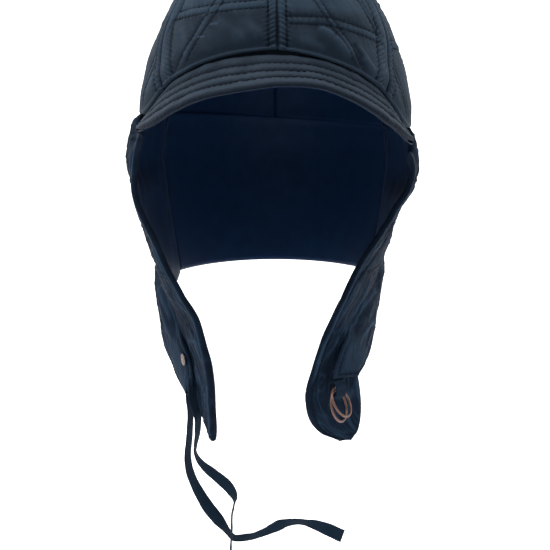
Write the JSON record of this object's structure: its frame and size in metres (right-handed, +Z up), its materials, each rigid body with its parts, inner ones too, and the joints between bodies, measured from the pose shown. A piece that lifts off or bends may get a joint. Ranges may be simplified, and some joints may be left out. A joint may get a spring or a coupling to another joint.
{
  "type": "aviator hat",
  "caption": "Quilted cloth aviator hat with a short ribbed peak, lined ear flaps with rounded lobes, a neck curtain, strap tongues with rings on one side and flat tie tapes on the other.",
  "frame": {"origin": "centre of the head opening, level with the lower edge of the crown at its sides", "axes": "+Z up through the crown, -Y out of the face opening, +X to the wearer's left"},
  "size_m": [0.1789, 0.2202, 0.4247],
  "materials": {
    "cloth": "dry waxed, dark navy",
    "skirt_cloth": "dry waxed, dark navy",
    "lining": "smooth, near black blue",
    "tape": "plain weave, near black blue",
    "copper": "antique copper",
    "rivet_metal": "worn, slightly warm"
  },
  "bodies": {
    "root": {"crown_front_right": "cloth", "crown_front_left": "cloth", "crown_side_right": "cloth", "crown_side_left": "cloth", "crown_back_right": "cloth", "crown_back_left": "cloth", "peak": "cloth", "ear_flap_right": "skirt_cloth", "ear_flap_left": "skirt_cloth", "neck_curtain": "skirt_cloth", "strap_tongue_right": "skirt_cloth", "strap_tongue_left": "skirt_cloth", "ring_tab": "skirt_cloth", "flap_lining_right": "lining", "flap_lining_left": "lining", "tie_tape_long": "tape", "tie_tape_short": "tape", "ring_front": "copper", "ring_back": "copper", "rivet": "rivet_metal"}
  },
  "joints": []
}
